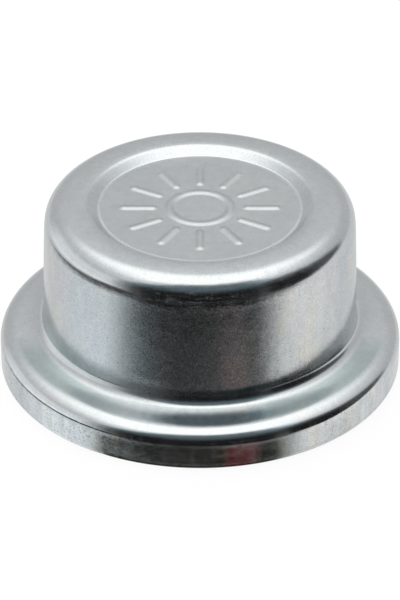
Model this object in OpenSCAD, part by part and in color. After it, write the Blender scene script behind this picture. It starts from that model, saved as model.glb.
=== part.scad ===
// Hub grease cap: one round cup, drawn from a single steel sheet.
// Its section is a chain of bends joined by straight stretches, all of one thickness,
// turned about the cap's axis. The rim of the skirt lies on z = 0.

/* [Sheet] */
// Thickness of the steel sheet
sheet_t = 2; // [1:0.1:2.4]
// Rounding of both edges of the rim
edge_r = 0.4; // [0.1:0.05:0.45]

/* [Skirt] */
// Outer diameter of the skirt that grips the hub's nose
skirt_d = 120; // [90:1:160]
// Height of the straight part of the skirt above its rim
skirt_h = 7.6; // [5:0.1:20]
// Inner radius of the bend between the skirt and the flange
corner_r = 2; // [0.5:0.1:3]

/* [Flange] */
// Inner radius of the flange's rolled shoulder
roll_r = 5.8; // [2:0.1:12]
// Slope at which the roll passes into the bend of the skirt
roll_tilt = 33; // [20:1:45]
// Width of the flange's straight part, along its slope
flange_w = 2.3; // [0.5:0.1:12]
// Slope of the straight part, falling outwards
flange_tilt = 7; // [2:0.5:12]
// Outer radius of the gentle bend in which the flange turns up towards the dome
apron_r = 14; // [8:0.5:30]
// Slope at which that bend passes into the fillet
apron_tilt = 22; // [15:1:40]
// Outer radius of the fillet at the foot of the dome's wall
foot_r = 3.5; // [1.5:0.1:7]

/* [Dome] */
// Overall height of the cap
cap_h = 54; // [35:1:90]
// Draft of the wall
wall_draft = 1.5; // [0:0.1:4]
// Inner radius of the gentle bend in which the wall leans in towards the shoulder
lean_r = 24; // [12:1:60]
// Lean of the wall where that bend passes into the shoulder
lean = 8; // [5:0.5:15]
// Inner radius of the shoulder at the head of the wall
shoulder_r = 4.5; // [2:0.1:10]

/* [Top] */
// Inner radius of the slightly domed ring inside the shoulder
ring_r = 48; // [30:1:120]
// Slope of the ring where it meets the shoulder
ring_tilt = 5; // [1:0.5:12]
// Inner radius of the bend in which the ring turns down towards the disc
brow_r = 14; // [3:0.5:30]
// Slope of that bend where it meets the crest
brow_tilt = 6; // [2:0.5:12]
// Inner radius of the crest over the step
crest_r = 1; // [0.5:0.1:2]
// Slope of the step between the crest and the disc
step_tilt = 35; // [20:1:60]
// Outer radius of the crease round the disc
crease_r = 1; // [0.5:0.1:2]
// Depth of the disc below the cap's highest line
disc_depth = 2.2; // [1.8:0.1:4]

/* [Hidden] */
// Widest angle that one facet of a bend may span
bend_step = 5;

// Unit vector square to a face that slopes down outwards by so many degrees
function normal(slope) = [sin(slope), cos(slope)];

// A bend is [centre, radius on its hollow side, first angle, last angle, side], where side is 1
// if the hollow side is the sheet's inner face and 0 if it is the outer one.

// Skirt and flange, from the rim inwards: neighbours touch where both have one slope
bore_r = skirt_d / 2 - sheet_t;
corner_c = [bore_r - corner_r, skirt_h];
roll_c = corner_c - (roll_r - corner_r) * normal(roll_tilt);
flange_n = normal(flange_tilt);
apron_c = roll_c + (roll_r + sheet_t + apron_r) * flange_n + flange_w * [-flange_n[1], flange_n[0]];
foot_c = apron_c - (apron_r - foot_r) * normal(apron_tilt);

// The wall touches the foot's fillet and its own upper bend, which sets how far in the top lies
wall_n = normal(90 - wall_draft);
ring_z = cap_h - sheet_t - ring_r;
shoulder_z = ring_z + (ring_r - shoulder_r) * cos(ring_tilt);
lean_z = shoulder_z - (lean_r - shoulder_r) * sin(lean);
wall_reach = foot_c * wall_n - foot_r - sheet_t - lean_r;
lean_c = [(wall_reach - lean_z * wall_n[1]) / wall_n[0], lean_z];
shoulder_c = lean_c + (lean_r - shoulder_r) * normal(90 - lean);
ring_c = [shoulder_c[0] - (ring_r - shoulder_r) * sin(ring_tilt), ring_z];

// From its highest line the sheet turns down over the crest, and a straight step leads to the crease
brow_c = [ring_c[0], cap_h - sheet_t - brow_r];
crest_c = brow_c + (brow_r - crest_r) * normal(-brow_tilt);
disc_z = cap_h - disc_depth;
step_n = normal(-step_tilt);
step_r = crest_r + sheet_t + crease_r;
step_l = (crest_c[1] + step_r * step_n[1] - disc_z - crease_r) / -step_n[0];
crease_c = crest_c + step_r * step_n + step_l * [-step_n[1], step_n[0]];

BENDS = [
    [corner_c, corner_r, 0, 90 - roll_tilt, 1],
    [roll_c, roll_r, 90 - roll_tilt, 90 - flange_tilt, 1],
    [apron_c, apron_r, 270 - flange_tilt, 270 - apron_tilt, 0],
    [foot_c, foot_r, 270 - apron_tilt, 180 + wall_draft, 0],
    [lean_c, lean_r, wall_draft, lean, 1],
    [shoulder_c, shoulder_r, lean, 90 - ring_tilt, 1],
    [ring_c, ring_r, 90 - ring_tilt, 90, 1],
    [brow_c, brow_r, 90, 90 + brow_tilt, 1],
    [crest_c, crest_r, 90 + brow_tilt, 90 + step_tilt, 1],
    [crease_c, crease_r, 270 + step_tilt, 270, 0]
];

// Points along an arc, in equal steps
function arc(c, r, a0, a1) =
    let (n = ceil(abs(a1 - a0) / bend_step))
    [for (i = [0:n]) let (a = a0 + (a1 - a0) * i / n) c + r * [cos(a), sin(a)]];

// Bends that touch end and begin at one point, which is kept once
function distinct(list) = [
    for (i = [0:len(list) - 1]) if (i == 0 || norm(list[i] - list[i - 1]) > 0.001) list[i]
];

// One face of the sheet from the skirt to the axis: outer = 1 or 0
function face(outer) = concat(
    distinct([for (b = BENDS) each arc(b[0], b[1] + (b[4] == outer ? sheet_t : 0), b[2], b[3])]),
    [[0, disc_z - (1 - outer) * sheet_t]]
);

function backwards(list) = [for (i = [len(list) - 1:-1:0]) list[i]];

module section() {
    rim_out = arc([bore_r + sheet_t - edge_r, edge_r], edge_r, 270, 360);
    rim_in = arc([bore_r + edge_r, edge_r], edge_r, 180, 270);
    polygon(concat(rim_out, face(1), backwards(face(0)), rim_in));
}

module grease_cap() {
    color("gainsboro") rotate_extrude($fn = 180) section();
}

grease_cap();
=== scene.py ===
# Hub grease cap: one deep-drawn, zinc-plated steel sheet on a plain pale studio floor
import math

import bpy
import numpy as np
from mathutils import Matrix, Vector


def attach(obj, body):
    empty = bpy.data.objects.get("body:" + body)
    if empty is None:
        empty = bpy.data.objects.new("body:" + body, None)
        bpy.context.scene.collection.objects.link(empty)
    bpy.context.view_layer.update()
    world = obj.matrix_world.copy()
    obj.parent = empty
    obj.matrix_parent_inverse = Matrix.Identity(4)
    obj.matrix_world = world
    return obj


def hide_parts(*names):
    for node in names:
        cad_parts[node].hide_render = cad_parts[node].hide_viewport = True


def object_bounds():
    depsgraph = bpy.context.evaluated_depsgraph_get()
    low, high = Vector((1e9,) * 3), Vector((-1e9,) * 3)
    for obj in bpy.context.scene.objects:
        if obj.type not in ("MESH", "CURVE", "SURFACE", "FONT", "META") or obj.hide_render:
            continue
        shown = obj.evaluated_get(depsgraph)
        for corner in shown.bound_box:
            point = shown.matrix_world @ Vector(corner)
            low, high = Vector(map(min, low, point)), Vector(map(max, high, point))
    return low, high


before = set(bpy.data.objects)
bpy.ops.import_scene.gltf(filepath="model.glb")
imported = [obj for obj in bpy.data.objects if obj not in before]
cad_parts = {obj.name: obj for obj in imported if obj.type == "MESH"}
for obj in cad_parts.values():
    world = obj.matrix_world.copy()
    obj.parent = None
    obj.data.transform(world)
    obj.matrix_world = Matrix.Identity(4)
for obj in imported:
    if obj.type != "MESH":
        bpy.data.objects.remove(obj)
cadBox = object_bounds()  # the solids' box, before anything is dressed
print("frame loaded")

mm = 0.001
rounding = 1e-6
capHeight = cadBox[1].z
skirtRadius = cadBox[1].x


class Socket:
    # A node's output; an expression with it adds Math nodes to its graph

    def __init__(self, graph, link):
        self.graph = graph
        self.link = link

    def __add__(self, other):
        return self.graph.maths("ADD", self, other)

    def __radd__(self, other):
        return self.graph.maths("ADD", other, self)

    def __sub__(self, other):
        return self.graph.maths("SUBTRACT", self, other)

    def __rsub__(self, other):
        return self.graph.maths("SUBTRACT", other, self)

    def __mul__(self, other):
        return self.graph.maths("MULTIPLY", self, other)

    def __rmul__(self, other):
        return self.graph.maths("MULTIPLY", other, self)

    def __truediv__(self, other):
        return self.graph.maths("DIVIDE", self, other)

    def step(self, low, high):
        # 0 below low, 1 above high and a soft curve between; it falls where low is above high
        if low > high:
            return 1 - self.step(high, low)
        inputs = {"Value": self, "From Min": low, "From Max": high}
        return self.graph.add("ShaderNodeMapRange", {"interpolation_type": "SMOOTHSTEP"}, inputs)

    def band(self, start, end):
        # 1 between two soft edges and 0 outside them
        return self.step(*start) * self.step(*end)


class Graph:
    # The node tree of one material or of the world

    def __init__(self, owner):
        owner.use_nodes = True
        self.tree = owner.node_tree
        self.tree.nodes.clear()

    def add(self, kind, settings=None, inputs=None, output=0):
        node = self.tree.nodes.new(kind)
        for name, value in (settings or {}).items():
            setattr(node, name, value)
        for name, value in (inputs or {}).items():
            if isinstance(value, Socket):
                self.tree.links.new(value.link, node.inputs[name])
            elif isinstance(value, tuple) and node.inputs[name].type == "RGBA":
                node.inputs[name].default_value = (*value, 1.0)
            else:
                node.inputs[name].default_value = value
        return Socket(self, node.outputs[output]) if len(node.outputs) else None

    def maths(self, operation, *values):
        return self.add("ShaderNodeMath", {"operation": operation}, dict(enumerate(values)))

    def mix(self, factor, first, second):
        settings = {"data_type": "RGBA"}
        return self.add("ShaderNodeMix", settings, {"Factor": factor, 6: first, 7: second}, output=2)

    def scaled(self, colour, factor):
        return self.add("ShaderNodeVectorMath", {"operation": "SCALE"}, {0: colour, "Scale": factor})

    def noise(self, vector, scale, detail=0.0, roughness=0.5):
        inputs = {"Vector": vector, "Scale": scale, "Detail": detail, "Roughness": roughness}
        return self.add("ShaderNodeTexNoise", None, inputs)

    def mapped(self, vector, turn=(0.0, 0.0, 0.0), scale=(1.0, 1.0, 1.0), place=(0.0, 0.0, 0.0)):
        inputs = {"Vector": vector, "Location": place, "Rotation": turn, "Scale": scale}
        return self.add("ShaderNodeMapping", None, inputs)

    def vector(self, x, y, z):
        return self.add("ShaderNodeCombineXYZ", None, {"X": x, "Y": y, "Z": z})

    def split(self, vector):
        node = self.add("ShaderNodeSeparateXYZ", None, {"Vector": vector}).link.node
        return [Socket(self, output) for output in node.outputs]


# The pressed section: radii on the hollow side of each bend, in metres, and slopes in degrees
section = {
    "sheet": 2.0 * mm,
    "edgeRound": 0.4 * mm,
    "skirtHeight": 7.6 * mm,
    "cornerRadius": 2.0 * mm,
    "rollRadius": 5.8 * mm,
    "rollTilt": 33.0,
    "flangeWidth": 2.3 * mm,
    "flangeTilt": 7.0,
    "apronRadius": 14.0 * mm,
    "apronTilt": 22.0,
    "footRadius": 3.5 * mm,
    "wallDraft": 1.5,
    "leanRadius": 24.0 * mm,
    "lean": 8.0,
    "shoulderRadius": 4.5 * mm,
    "ringRadius": 48.0 * mm,
    "ringTilt": 5.0,
    "browRadius": 14.0 * mm,
    "browTilt": 6.0,
    "crestRadius": 1.0 * mm,
    "stepTilt": 35.0,
    "creaseRadius": 1.0 * mm,
    "discDepth": 2.2 * mm,
}


def slope(degrees):
    # Unit vector square to a face that slopes so much from level
    return np.array([math.sin(math.radians(degrees)), math.cos(math.radians(degrees))])


def bendChain(s):
    # The ten bends from the skirt to the disc: centre, radius on the hollow side, first and last angle, and
    # side, which is 1 where the hollow side is the sheet's inner face and 0 where it is the outer one.
    # Neighbours touch where both have one slope
    sheet = s["sheet"]
    corner = np.array([skirtRadius - sheet - s["cornerRadius"], s["skirtHeight"]])
    roll = corner - (s["rollRadius"] - s["cornerRadius"]) * slope(s["rollTilt"])
    flangeNormal = slope(s["flangeTilt"])
    flangeRun = s["flangeWidth"] * np.array([-flangeNormal[1], flangeNormal[0]])
    apron = roll + (s["rollRadius"] + sheet + s["apronRadius"]) * flangeNormal + flangeRun
    foot = apron - (s["apronRadius"] - s["footRadius"]) * slope(s["apronTilt"])
    wallNormal = slope(90 - s["wallDraft"])
    ringReach = (s["ringRadius"] - s["shoulderRadius"]) * slope(s["ringTilt"])
    ringZ = capHeight - sheet - s["ringRadius"]
    shoulderZ = ringZ + ringReach[1]
    leanReach = (s["leanRadius"] - s["shoulderRadius"]) * slope(90 - s["lean"])
    leanZ = shoulderZ - leanReach[1]
    wallReach = foot @ wallNormal - s["footRadius"] - sheet - s["leanRadius"]
    lean = np.array([(wallReach - leanZ * wallNormal[1]) / wallNormal[0], leanZ])
    shoulder = lean + leanReach
    ring = np.array([shoulder[0] - ringReach[0], ringZ])
    brow = np.array([ring[0], capHeight - sheet - s["browRadius"]])
    crest = brow + (s["browRadius"] - s["crestRadius"]) * slope(-s["browTilt"])
    stepNormal = slope(-s["stepTilt"])
    stepRadius = s["crestRadius"] + sheet + s["creaseRadius"]
    creaseZ = capHeight - s["discDepth"] + s["creaseRadius"]
    stepLength = (crest[1] + stepRadius * stepNormal[1] - creaseZ) / -stepNormal[0]
    crease = crest + stepRadius * stepNormal + stepLength * np.array([-stepNormal[1], stepNormal[0]])
    return [
        (corner, s["cornerRadius"], 0, 90 - s["rollTilt"], 1),
        (roll, s["rollRadius"], 90 - s["rollTilt"], 90 - s["flangeTilt"], 1),
        (apron, s["apronRadius"], 270 - s["flangeTilt"], 270 - s["apronTilt"], 0),
        (foot, s["footRadius"], 270 - s["apronTilt"], 180 + s["wallDraft"], 0),
        (lean, s["leanRadius"], s["wallDraft"], s["lean"], 1),
        (shoulder, s["shoulderRadius"], s["lean"], 90 - s["ringTilt"], 1),
        (ring, s["ringRadius"], 90 - s["ringTilt"], 90, 1),
        (brow, s["browRadius"], 90, 90 + s["browTilt"], 1),
        (crest, s["crestRadius"], 90 + s["browTilt"], 90 + s["stepTilt"], 1),
        (crease, s["creaseRadius"], 270 + s["stepTilt"], 270, 0),
    ]


def arcPoints(centre, radius, first, last, step):
    # Points at equal angles along a circular arc
    count = max(1, math.ceil(abs(last - first) / step))
    angle = np.radians(np.linspace(first, last, count + 1))
    return centre + radius * np.stack([np.cos(angle), np.sin(angle)], axis=1)


def fillIn(points, gap):
    # Splits each stretch longer than gap into equal shorter ones
    rows = [points[:1]]
    for start, end in zip(points[:-1], points[1:]):
        count = max(1, math.ceil(np.linalg.norm(end - start) / gap - rounding))
        share = np.arange(1, count + 1)[:, None] / count
        rows.append(start + (end - start) * share)
    return np.concatenate(rows)


def sheetFace(s, outer, step, gap, discGap):
    # One face of the sheet from the skirt to the axis: the outer one for 1 and the inner one for 0
    rows = [arcPoints(c, r + s["sheet"] * (side == outer), a, b, step) for c, r, a, b, side in bendChain(s)]
    points = np.concatenate(rows)
    apart = np.linalg.norm(np.diff(points, axis=0), axis=1) > rounding  # bends that touch share a point
    face = fillIn(points[np.append(True, apart)], gap)
    axis = np.array([[0.0, capHeight - s["discDepth"] - s["sheet"] * (1 - outer)]])
    disc = fillIn(np.concatenate([face[-1:], axis]), discGap)
    return np.concatenate([face, disc[1:]])


# A plain pressed ornament on the sunk disc: a ring and a circle of short ribs
ornament = {
    "height": 0.38 * mm,
    "flank": 1.1 * mm,
    "ringRadius": 9.0 * mm,
    "ringHalfWidth": 0.4 * mm,
    "ribCount": 12,
    "ribFrom": 14.0 * mm,
    "ribTo": 22.5 * mm,
    "ribHalfWidth": 0.35 * mm,
    "reach": 26.0 * mm,  # nothing of it lies outside this radius
    "slack": 0.05 * mm,  # how far under the inner face a point still counts as the disc's
}


def pressedHeight(x, y):
    # Height of the ornament over the disc: full where the distance to a ring's middle line or to a rib's
    # middle line is under its half width, and falling over the flank on a smooth cubic
    o = ornament
    radius = np.hypot(x, y)
    angle = np.arctan2(y, x)
    pitch = 2 * math.pi / o["ribCount"]
    near = (angle + pitch / 2) % pitch - pitch / 2
    along, across = radius * np.cos(near), radius * np.sin(near)
    past = np.maximum(np.maximum(o["ribFrom"] - along, along - o["ribTo"]), 0)
    toRib = np.hypot(past, across) - o["ribHalfWidth"]
    toRing = np.abs(radius - o["ringRadius"]) - o["ringHalfWidth"]
    share = np.clip(1 - np.minimum(toRib, toRing) / o["flank"], 0, 1)
    return o["height"] * share * share * (3 - 2 * share)


# How finely the sheet is meshed, and how far a drawn sheet strays from the true form
shell = {
    "around": 320,
    "bendStep": 4.5,  # degrees of bend per row
    "rimStep": 15.0,
    "rowGap": 1.3 * mm,  # longest row on a straight stretch
    "discGap": 0.42 * mm,
    "seed": 11,
    "ripple": 0.035 * mm,
    "rippleWaves": range(2, 9),  # waves round the cap
    "rippleTwist": (20, 90),  # radians per metre of height
    "rippleFade": 4.0 * mm,  # height over which the ripple grows from the rim
    "barrel": 0.1 * mm,  # how far the dome's wall bulges between its bends
    "barrelPower": 1.5,
    "wallFrom": 16.0 * mm,
    "wallTo": 46.0 * mm,
    "wallInside": 40.0 * mm,  # the wall lies outside this radius
}


def sheetOutline():
    # Rows of r and z along the outer face, back along the inner face and round the rim, and the number of the
    # row at the outer pole, which the row at the inner pole follows
    s = section
    outer = sheetFace(s, 1, shell["bendStep"], shell["rowGap"], shell["discGap"])
    inner = sheetFace(s, 0, 2 * shell["bendStep"], 2 * shell["rowGap"], 2 * shell["discGap"])
    edge, step = s["edgeRound"], shell["rimStep"]
    rimOut = arcPoints(np.array([skirtRadius - edge, edge]), edge, 270, 360, step)
    rimIn = arcPoints(np.array([skirtRadius - s["sheet"] + edge, edge]), edge, 180, 270, step)
    outerRows = fillIn(np.concatenate([rimOut, outer[:1]]), shell["rowGap"])[:-1]
    innerRows = fillIn(np.concatenate([inner[:1], rimIn]), shell["rowGap"])[1:]
    return np.concatenate([outerRows, outer, inner[::-1], innerRows]), len(outerRows) + len(outer) - 1


def strayed(radius, height, angle):
    # How far the drawn sheet strays outwards. The ripple is the sum of cos(k a + phase + twist z) / k over k
    # waves, faded towards the axis and the rim, and the bulge is (4 h (1 - h)) ^ power, where h is the share
    # of the wall's height
    rng = np.random.default_rng(shell["seed"])
    wobble = np.zeros_like(radius)
    for waves in shell["rippleWaves"]:
        phase, twist = rng.uniform(0, 2 * math.pi), rng.uniform(*shell["rippleTwist"])
        wobble += np.cos(waves * angle + phase + twist * height) / waves
    fade = np.clip(radius / skirtRadius, 0, 1) * np.clip(height / shell["rippleFade"], 0, 1)
    low, high = shell["wallFrom"], shell["wallTo"]
    share = np.clip((height - low) / (high - low), 0, 1)
    bulge = (4 * share * (1 - share)) ** shell["barrelPower"] * (radius > shell["wallInside"])
    return shell["ripple"] * wobble * fade + shell["barrel"] * bulge


def shellFaces(rowCount, around, topPole):
    # Quads between neighbouring rows, and a fan of triangles round each pole, whose points come last
    row = np.arange(rowCount)
    after = (row + 1) % rowCount
    row = np.delete(row, topPole - 1)  # the rows on both sides of the poles meet there, not each other
    after = np.delete(after, topPole - 1)
    column = np.arange(around)
    right = (column + 1) % around
    quads = np.stack([
        row[:, None] * around + column,
        row[:, None] * around + right,
        after[:, None] * around + right,
        after[:, None] * around + column,
    ], axis=2).reshape(-1, 4)
    lastOuter, firstInner = (topPole - 1) * around, topPole * around
    pole = np.full(around, rowCount * around)
    fanTop = np.stack([lastOuter + column, lastOuter + right, pole], axis=1)
    fanUnder = np.stack([firstInner + right, firstInner + column, pole + 1], axis=1)
    return quads.tolist() + fanTop.tolist() + fanUnder.tolist()


def makeShell(name):
    # The outline turned about the axis: point = (r cos a, r sin a, z), with one shared point at each pole
    outline, topPole = sheetOutline()
    rows = np.delete(outline, [topPole, topPole + 1], axis=0)
    around = shell["around"]
    angle = np.arange(around) * 2 * math.pi / around
    radius, height = np.broadcast_arrays(rows[:, :1], angle)[0], rows[:, 1:]
    moved = radius + strayed(radius, height, angle)
    x, y = moved * np.cos(angle), moved * np.sin(angle)
    onDisc = height > capHeight - section["discDepth"] - section["sheet"] - ornament["slack"]
    z = height + np.where(onDisc & (radius < ornament["reach"]), pressedHeight(x, y), 0.0)
    grid = np.stack([x, y, z], axis=2).reshape(-1, 3)
    poles = np.array([[0, 0, outline[topPole][1]], [0, 0, outline[topPole + 1][1]]])
    mesh = bpy.data.meshes.new(name)
    mesh.from_pydata(np.concatenate([grid, poles]).tolist(), [], shellFaces(len(rows), around, topPole))
    mesh.polygons.foreach_set("use_smooth", np.ones(len(mesh.polygons), dtype=bool))
    mesh.update()
    piece = bpy.data.objects.new(name, mesh)
    bpy.context.scene.collection.objects.link(piece)
    print("shell:", len(mesh.vertices), "points,", len(mesh.polygons), "faces")
    return piece


# The plated skin. A pair is a mask's soft edge, at a place in metres or at a level of a noise, and a pair of
# pairs is a band. Scales are per metre, colours are linear, and the rest are shares
zinc = {
    # Places on the cap
    "discEdge": (0.0302, 0.0292),
    "discLevel": (0.048, 0.050),
    # Where the painted highlight line runs round the disc
    "highlightLineRadius": ((0.0292, 0.0297), (0.0306, 0.0301)),
    "skirtTop": (0.0100, 0.0082),
    "wallHeight": ((0.0155, 0.0185), (0.0490, 0.0465)),
    "shoulderFrom": (0.0440, 0.0465),
    "shoulderInner": (0.0400, 0.0425),
    # Colours of the passivated zinc
    "cool": (0.605, 0.65, 0.668),
    "pale": (0.685, 0.71, 0.725),
    "cream": (0.76, 0.735, 0.67),
    "blue": (0.625, 0.66, 0.69),
    # The colour of the painted shade at the wall's foot and in the flange's trough
    "paintedShadeTeal": (0.40, 0.475, 0.48),
    # Streaks round the cap, and clouds of bloom
    "aroundScale": (9.0, 26.0, 14.0),  # of streaks, smears and the skirt's blots
    "axisGap": 0.004,  # keeps the streaks finite on the axis
    "streakRise": 2.0,
    "ridgeScale": (8.0, 8.0, 700.0),
    "cloudScale": 55.0,
    "cloudTurn": (0.4, 0.8, 0.0),
    "cloudStretch": (1.0, 1.0, 0.4),
    "cloudEdges": (0.35, 0.65),
    "cloudOnTop": 0.2,
    "veilScale": 110.0,
    "veilPlace": (0.35, 0.4, 0.7),
    "creamVeil": (0.50, 0.70),
    "blueVeil": (0.50, 0.32),
    "bloom": 0.55,
    "bloomOnTop": 0.15,
    # Painted teal shade at the wall's foot and in the flange's trough
    "paintedShadeTop": (0.0235, 0.0165),
    "paintedShadeUneven": 0.012,
    "paintedShadeRadius": (0.0475, 0.0465),
    "paintedShadeLeft": (-0.021, -0.033),
    "troughRadius": ((0.0486, 0.0502), (0.0568, 0.0545)),
    "troughLevel": (0.0110, 0.0116),
    "troughBack": (-0.006, -0.022),
    "troughRight": (0.010, 0.022),
    "troughShadeShare": 0.85,
    # Grain, and what lightens or darkens each part
    "grainScale": 2300.0,
    "mottleScale": 420.0,
    "speckScale": 1100.0,
    "speckEdges": (0.35, 0.68),
    "grainOnWall": 0.64,
    "grainElsewhere": 0.33,
    "grainAtFront": 2.3,
    "frontOfWall": (-0.86, -0.96),
    "mottleShare": 0.5,
    "streakShade": 0.25,
    "smearShade": 0.35,
    "skirtShade": 0.08,
    "discShade": 0.88,
    # The painted highlight: a paler line round the disc, stronger at the front
    "paintedHighlight": 0.1,
    "paintedHighlightAtFront": 0.18,
    "paintedHighlightFrom": (0.004, -0.012),
    # Pits and scratches
    "patchScale": 48.0,
    "pitScale": 1700.0,
    "pitEdges": (0.68, 0.76),
    "pitPatch": (0.52, 0.66),
    "pitDepth": 0.45,
    "pitOnSkirt": 0.3,
    "scratch": (120.0, 1800.0, 1800.0),
    "scratchTurns": [(0.3, 0.5, 0.2), (-0.6, 0.9, -0.4), (0.1, -0.4, 1.3)],
    "scratchEdges": (0.72, 0.78),
    "scratchPatch": (0.56, 0.44),
    "scratchShade": 0.3,
    "scratchShares": (0.08, 0.4, 0.92),  # on the top, and what the wall and the skirt add
    # Dull films: on the skirt, over the rim, under the shoulder and round it, and painted light at the foot,
    # a dull film that lightens its dark reflection
    "blotFilm": 0.035,
    "blotEdges": (0.48, 0.62),
    "rimFilm": 0.15,
    "rimHeight": ((0.0006, 0.0010), (0.0018, 0.0013)),
    "rimWear": (0.2, 0.5),
    "wornFilm": 0.08,
    "wornHeight": ((0.0468, 0.0473), (0.0483, 0.0478)),
    "wornEdges": (0.3, 0.6),
    "ridgeFilm": 0.13,
    "ridgeLevel": (0.53, 0.66),
    "ridgePatch": (0.35, 0.55),
    # Painted light at the wall's foot: a dull film that lightens its dark reflection
    "footLightFilm": 0.3,
    "footLightRadius": (0.0495, 0.0480),
    "leftFootLightTop": (0.0216, 0.0196),
    "leftFootLight": ((-0.034, -0.027), (-0.004, -0.020)),
    "rightFootLightHeight": ((0.0160, 0.0172), (0.0240, 0.0200)),
    "rightFootLight": (0.026, 0.036),
    "rightFootLightShare": 1.2,
    # Sheen and bump
    "oxide": 0.035,
    "oxideOffSkirt": 0.7,
    "roughness": 0.17,
    "discRoughness": 0.34,
    "cloudRoughness": 0.12,
    "mottleRoughness": 0.14,
    "streakRoughness": 0.1,
    "streakMiddle": 1.1,
    "scratchRoughness": 0.1,
    "waveScale": 170.0,
    "bumpDepth": 0.008 * mm,
    "grainBump": 0.2,  # on the top; 1 on the formed parts
    "waveBump": 6.0,
    "ridgeBump": 2.5,
    "scratchBump": 0.8,
    "pitBump": 0.6,
}


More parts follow.
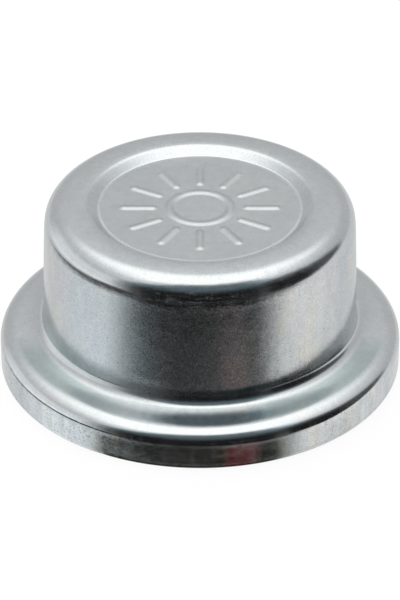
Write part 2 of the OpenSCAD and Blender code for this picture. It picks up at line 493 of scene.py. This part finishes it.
def zincPlate():
    material = bpy.data.materials.new("zincPlate")
    g = Graph(material)
    n = zinc
    spot = g.add("ShaderNodeTexCoord", output="Object")
    x, y, z = g.split(spot)
    radius = g.maths("SQRT", x * x + y * y)
    disc = radius.step(*n["discEdge"]) * z.step(*n["discLevel"])
    # The band of the painted highlight line round the disc
    highlightLine = radius.band(*n["highlightLineRadius"]) * z.step(*n["discLevel"])
    skirt = z.step(*n["skirtTop"])
    wall = z.band(*n["wallHeight"])
    shoulder = z.step(*n["shoulderFrom"]) * radius.step(*n["shoulderInner"])
    drawn = wall + skirt
    formed = drawn + shoulder
    # Streaks of the drawing die: upright on the wall and skirt, and round the shoulder
    turn = g.vector(x / (radius + n["axisGap"]), y / (radius + n["axisGap"]), z * n["streakRise"])
    streak, smear, blot = [
        g.noise(turn, scale, detail, 0.6) for scale, detail in zip(n["aroundScale"], (3.0, 2.0, 2.0))
    ]
    ridge = g.noise(g.mapped(turn, scale=n["ridgeScale"]), 1.0, 3.0, 0.6)
    # Bloom of the passivation: slanting clouds of cream and blue
    slant = g.mapped(spot, n["cloudTurn"], n["cloudStretch"])
    cloud = g.noise(slant, n["cloudScale"], 3.0, 0.55)
    veil = g.noise(g.mapped(slant, place=n["veilPlace"]), n["veilScale"], 3.0, 0.6)
    bloom = n["bloom"] * (n["bloomOnTop"] + (1 - n["bloomOnTop"]) * drawn)
    cloudShare = n["cloudOnTop"] + (1 - n["cloudOnTop"]) * drawn
    colour = g.mix(0.5 + (cloud.step(*n["cloudEdges"]) - 0.5) * cloudShare, n["cool"], n["pale"])
    colour = g.mix(veil.step(*n["creamVeil"]) * bloom, colour, n["cream"])
    colour = g.mix(veil.step(*n["blueVeil"]) * bloom, colour, n["blue"])
    # Painted shade: a darker teal on the left of the wall's foot, and in the flange's trough on both sides of
    # the front
    left = x.step(*n["paintedShadeLeft"])
    footShade = (z + n["paintedShadeUneven"] * (cloud - 0.5)).step(*n["paintedShadeTop"]) * left * radius.step(*n["paintedShadeRadius"])
    troughShade = radius.band(*n["troughRadius"]) * z.step(*n["troughLevel"])
    troughShade = troughShade * y.step(*n["troughBack"]) * (left + x.step(*n["troughRight"]))
    colour = g.mix(footShade + n["troughShadeShare"] * troughShade, colour, n["paintedShadeTeal"])
    # Fine grain, stronger where the sheet was drawn; mottle is the same at a few millimetres
    grain = g.noise(spot, n["grainScale"], 2.0, 0.65)
    mottle = g.noise(spot, n["mottleScale"], 4.0, 0.62)
    speck = g.noise(spot, n["speckScale"], 2.0).step(*n["speckEdges"])
    facing = (y / radius).step(*n["frontOfWall"])
    grainShare = n["grainElsewhere"] + (n["grainOnWall"] - n["grainElsewhere"]) * drawn
    grainShare = grainShare * (1 + n["grainAtFront"] * facing * wall)
    shade = 1 + grainShare * (grain - 0.5) + n["mottleShare"] * grainShare * (mottle - 0.5)
    shade = shade + n["streakShade"] * wall * (streak - 0.5) + n["smearShade"] * skirt * (smear - 0.5)
    # A painted highlight: a paler line round the disc, clearest at the front
    paintedHighlight = (n["paintedHighlight"] + n["paintedHighlightAtFront"] * y.step(*n["paintedHighlightFrom"])) * highlightLine
    shade = shade * (1 - (1 - n["discShade"]) * disc) * (1 + paintedHighlight) * (1 + n["skirtShade"] * skirt)
    # Pits in patches, and short scratches in three directions
    patch = g.noise(spot, n["patchScale"], 1.0)
    pit = g.noise(spot, n["pitScale"], 1.0).step(*n["pitEdges"]) * patch.step(*n["pitPatch"])
    pit = pit * (wall + n["pitOnSkirt"] * skirt)
    scratch = 0
    for tilt in n["scratchTurns"]:
        scratch = scratch + g.noise(g.mapped(spot, tilt, n["scratch"]), 1.0).step(*n["scratchEdges"])
    onTop, onWall, onSkirt = n["scratchShares"]
    scratch = scratch * patch.step(*n["scratchPatch"]) * (onTop + onWall * wall + onSkirt * skirt)
    shade = shade * (1 - n["pitDepth"] * pit) * (1 - n["scratchShade"] * scratch)
    # A dull film: smears on the skirt, worn lines over the rim and under the shoulder, and ridges round it
    film = n["blotFilm"] * blot.step(*n["blotEdges"]) * skirt
    film = film + n["rimFilm"] * z.band(*n["rimHeight"]) * smear.step(*n["rimWear"])
    film = film + n["wornFilm"] * z.band(*n["wornHeight"]) * streak.step(*n["wornEdges"]) * wall
    film = film + n["ridgeFilm"] * ridge.step(*n["ridgeLevel"]) * smear.step(*n["ridgePatch"]) * shoulder
    # Painted light: a dull film in the wall's foot, on both sides of the front, that lightens the dark
    # reflection there
    leftFootLight = z.step(*n["leftFootLightTop"]) * x.band(*n["leftFootLight"])
    rightFootLight = z.band(*n["rightFootLightHeight"]) * x.step(*n["rightFootLight"])
    film = film + n["footLightFilm"] * radius.step(*n["footLightRadius"]) * (leftFootLight + n["rightFootLightShare"] * rightFootLight)
    roughness = n["roughness"] + n["cloudRoughness"] * (cloud - 0.5) + n["mottleRoughness"] * (mottle - 0.5)
    roughness = roughness + n["streakRoughness"] * skirt * (streak - n["streakMiddle"])
    roughness = roughness + disc * (n["discRoughness"] - n["roughness"]) + n["scratchRoughness"] * scratch
    waves = g.noise(spot, n["waveScale"], 2.0)
    height = (n["grainBump"] + (1 - n["grainBump"]) * formed) * grain + mottle
    height = height + n["waveBump"] * waves * formed + n["ridgeBump"] * shoulder * ridge
    height = height + n["scratchBump"] * scratch - n["pitBump"] * pit
    bump = g.add("ShaderNodeBump", None, {"Strength": 1.0, "Distance": n["bumpDepth"], "Height": height})
    finish = g.add("ShaderNodeBsdfPrincipled", None, {
        "Base Color": g.scaled(colour, shade),
        "Metallic": 1 - n["oxide"] * speck * (1 - n["oxideOffSkirt"] * skirt) - film,
        "Roughness": roughness,
        "Normal": bump,
    })
    g.add("ShaderNodeOutputMaterial", None, {"Surface": finish})
    return material


# The studio, whose brightness goes by direction. A pair is a soft edge in degrees, or in heights of the box
# for the box overhead, and a pair of pairs is a band
studio = {
    # The camera and the floor in metres, and the lens and its sensor in millimetres
    "cameraDistance": 1.08,
    "cameraElevation": 32.47,
    "aimHeight": 19.54 * mm,
    "lens": 216.3,
    "sensor": 36.0,
    "clip": (0.05, 20.0),
    "floorSize": 8.0,
    "floorLevel": -0.02 * mm,
    "floorGrey": 0.8,
    "floorGlow": 1.1,
    "floorLift": 0.82,  # share of the floor's whiteness that no shadow takes away
    # The pale table below the horizon, the room above it and a paler window at the left
    "table": 0.85,
    "tableBack": 0.13,
    "tableBackFrom": (90, 140),
    "tablePatches": [((-112, -96), (-50, -70), 0.13), ((60, 80), (112, 96), -0.13)],
    "roomLow": 0.58,
    "roomHigh": 0.95,
    "roomRise": (20, 60),
    "horizon": (0, -4),
    "window": 0.34,
    "windowLeft": (-142, -120),
    "windowRight": (-45, -65),
    "windowLow": (-12, -4),
    "windowTop": (32, 18),
    # The soft box overhead
    "box": 1.55,
    "boxTint": (1.0, 0.985, 0.96),
    "boxSide": (0.92, 0.28),
    "boxNear": (-0.43, -0.32),
    "boxFar": (1.25, 0.35),
    "boxFrom": (5, 12),
    "leastRise": 0.05,  # keeps box heights finite at the horizon
    # The dark camera side, high and low, with its slanting upper edges
    "darkHigh": 0.012,
    "darkLow": 0.075,
    "darkFrom": (-28, -30.5),
    "darkTop": 0.18,
    "darkRise": (16, 50),
    "lowFront": ((-80, -32), (68, 36), 1.3),  # a band and how full it is between its edges
    "highFront": ((-72, -31), (72, 30), 2.0),
    "frontTop": (75, 59),
    "frontBottom": (-75, -50),
    "leftSlant": (-22, 1.0),  # bearing where it starts, and degrees lost per degree
    "rightSlant": (70, 0.6, 0.45),  # the same, of the strip's upper and its lower edge
    "rightLift": 0.08,
    "rightLiftFrom": (75, 95),
    "coreLeft": (-16, -52, 2.2),  # a soft edge, and what the dark gains past it
    "coreRight": (-12, 40, 1.3),
    "nearLeft": (-68, -57),
    "nearRight": (57, 45),
    "nearShade": 0.2,
    "nearTop": (-33.3, -34.3),
    # Dark strips along the horizon at both sides
    "stripRight": ((35, 50), (122, 112)),
    "stripRightLow": (-22, -17),
    "stripRightTop": (50, 33),
    "stripLeft": ((-150, -112), (-35, -48)),
    "stripLeftLow": (-26, -21),
    "stripLeftTop": (-7, -14),
    "stripLeftSlant": (-62, 0.14),
    # Tints
    "cool": (0.68, 0.93, 1.06),
    "coolHeight": ((5, 35), (62, 50)),
    "coolLow": 0.45,
    "coolLowHeight": ((-34.3, -33), (-28.5, -30.5)),
    "coolLowSide": ((-125, -95), (-20, -45)),
    "olive": (1.0, 0.97, 0.75),
    "cream": (1.0, 0.994, 0.972),
    "creamSide": ((45, 65), (122, 104)),
    "creamTop": (-20, -27),
    "warm": (1.0, 0.08, 0.08),
    "warmLift": 4.7,
    "warmAbove": 0.08,
    "warmSide": ((12, 18), (37, 30)),
    "warmTop": (10, -5),
}


def studioWorld():
    # Brightness of the studio by direction: a soft box overhead, a pale room, a dark camera side and dark
    # strips along the horizon; below the horizon lies the pale table, dark where the camera side shades it
    world = bpy.data.worlds.new("studioRoom")
    bpy.context.scene.world = world
    g = Graph(world)
    s = studio
    x, y, z = g.split(g.add("ShaderNodeTexCoord", output="Generated"))
    degrees = 180 / math.pi
    elevation = g.maths("ARCSINE", z) * degrees
    bearing = g.maths("ARCTAN2", x, y * -1) * degrees  # 0 towards the camera, positive to the right
    aside = g.maths("ABSOLUTE", bearing)
    up = g.maths("MAXIMUM", z, s["leastRise"])
    across, along = g.maths("ABSOLUTE", x / up), y / up
    box = across.step(*s["boxSide"]) * along.band(s["boxNear"], s["boxFar"]) * elevation.step(*s["boxFrom"])
    table = s["table"] - s["tableBack"] * aside.step(*s["tableBackFrom"])
    nearShare = elevation.step(*s["nearTop"])
    for first, last, lift in s["tablePatches"]:
        table = table + lift * bearing.band(first, last) * nearShare
    room = s["roomLow"] + (s["roomHigh"] - s["roomLow"]) * elevation.step(*s["roomRise"])
    window = bearing.band(s["windowLeft"], s["windowRight"]) * elevation.band(s["windowLow"], s["windowTop"])
    room = room + elevation.step(*s["horizon"]) * (table - room) + s["window"] * window
    room = room + box * (s["box"] - room)
    lowShare = elevation.step(*s["darkFrom"])
    low, high = [
        1 - g.maths("POWER", 1 - bearing.band(first, last), power)
        for first, last, power in (s["lowFront"], s["highFront"])
    ]
    slantTo, leftSlant = s["leftSlant"]
    high = high * (elevation + leftSlant * g.maths("MAXIMUM", slantTo - bearing, 0)).step(*s["frontTop"])
    near = bearing.band(s["nearLeft"], s["nearRight"]) * nearShare
    front = g.maths("MAXIMUM", high + lowShare * (low - high), near) * elevation.step(*s["frontBottom"])
    slantFrom, topSlant, lowSlant = s["rightSlant"]
    past = g.maths("MAXIMUM", bearing - slantFrom, 0)
    right = bearing.band(*s["stripRight"]) * (elevation - lowSlant * past).step(*s["stripRightLow"])
    right = right * (elevation + topSlant * past).step(*s["stripRightTop"])
    slantTo, topSlant = s["stripLeftSlant"]
    topEdge = elevation + topSlant * g.maths("MAXIMUM", slantTo - bearing, 0)
    left = bearing.band(*s["stripLeft"]) * elevation.step(*s["stripLeftLow"])
    left = left * topEdge.step(*s["stripLeftTop"])
    dark = g.maths("MAXIMUM", front, g.maths("MAXIMUM", right, left))
    core = 1
    for first, last, rise in (s["coreLeft"], s["coreRight"]):
        core = core + rise * bearing.step(first, last) * (1 - nearShare)
    shade = s["darkHigh"] + lowShare * (s["darkLow"] * core - s["darkHigh"])
    shade = shade * (1 - (1 - s["nearShade"]) * nearShare)
    shade = shade + elevation.step(*s["darkRise"]) * (s["darkTop"] - s["darkHigh"])
    shade = shade + s["rightLift"] * bearing.step(*s["rightLiftFrom"])
    warm = front * elevation.step(*s["warmTop"]) * bearing.band(*s["warmSide"])
    warm = warm * (s["warmAbove"] + (1 - s["warmAbove"]) * nearShare)
    grey = room + dark * (shade * (1 + s["warmLift"] * warm) - room)
    coolLow = s["coolLow"] * elevation.band(*s["coolLowHeight"]) * bearing.band(*s["coolLowSide"])
    cool = front * elevation.band(*s["coolHeight"]) + coolLow
    colour = g.mix(box, (1.0, 1.0, 1.0), s["boxTint"])
    colour = g.mix(cool, colour, s["cool"])
    cream = bearing.band(*s["creamSide"]) * elevation.step(*s["creamTop"])
    colour = g.mix(cream, colour, s["cream"])
    colour = g.mix(near, colour, s["olive"])
    colour = g.mix(warm, colour, s["warm"])
    light = g.add("ShaderNodeBackground", None, {"Color": colour, "Strength": grey})
    g.add("ShaderNodeOutputWorld", None, {"Surface": light})


def plane(name, half, height):
    mesh = bpy.data.meshes.new(name)
    corners = [(-half, -half, height), (half, -half, height), (half, half, height), (-half, half, height)]
    mesh.from_pydata(corners, [], [(0, 1, 2, 3)])
    piece = bpy.data.objects.new(name, mesh)
    bpy.context.scene.collection.objects.link(piece)
    return piece


def studioFloor():
    floor = plane("studioFloor", studio["floorSize"] / 2, studio["floorLevel"])
    material = bpy.data.materials.new("paleFloor")
    g = Graph(material)
    grey = studio["floorGrey"]
    matt = g.add("ShaderNodeBsdfDiffuse", None, {"Color": (grey, grey, grey)})
    lit = g.add("ShaderNodeEmission", None, {"Color": (1.0, 1.0, 1.0), "Strength": studio["floorGlow"]})
    rays = g.add("ShaderNodeLightPath").link.node.outputs
    seen = Socket(g, rays["Is Camera Ray"])
    seen = g.maths("MAXIMUM", seen, Socket(g, rays["Is Glossy Ray"]))
    seen = g.maths("MAXIMUM", seen, Socket(g, rays["Is Transmission Ray"]))
    mixed = g.add("ShaderNodeMixShader", None, {0: seen * studio["floorLift"], 1: matt, 2: lit})
    g.add("ShaderNodeOutputMaterial", None, {"Surface": mixed})
    floor.data.materials.append(material)
    floor.visible_glossy = False  # the metal mirrors the table as the room shows it below the horizon


def studioCamera():
    s = studio
    elevation = math.radians(s["cameraElevation"])
    aim = Vector((0, 0, s["aimHeight"]))
    back = Vector((0, -math.cos(elevation), math.sin(elevation)))
    data = bpy.data.cameras.new("studioCamera")
    data.lens, data.sensor_width = s["lens"], s["sensor"]
    data.clip_start, data.clip_end = s["clip"]
    camera = bpy.data.objects.new("studioCamera", data)
    camera.location = aim + back * s["cameraDistance"]
    camera.rotation_mode = "QUATERNION"
    camera.rotation_quaternion = (-back).to_track_quat("-Z", "Y")
    bpy.context.scene.collection.objects.link(camera)
    bpy.context.scene.camera = camera


studioCamera()
studioWorld()
studioFloor()
print("studio ready")

cap = makeShell("pressedCap")
cap.data.materials.append(zincPlate())
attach(cap, "root")
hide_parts("grease_cap")
print("cap dressed")

bpy.context.scene.view_settings.view_transform = "Standard"
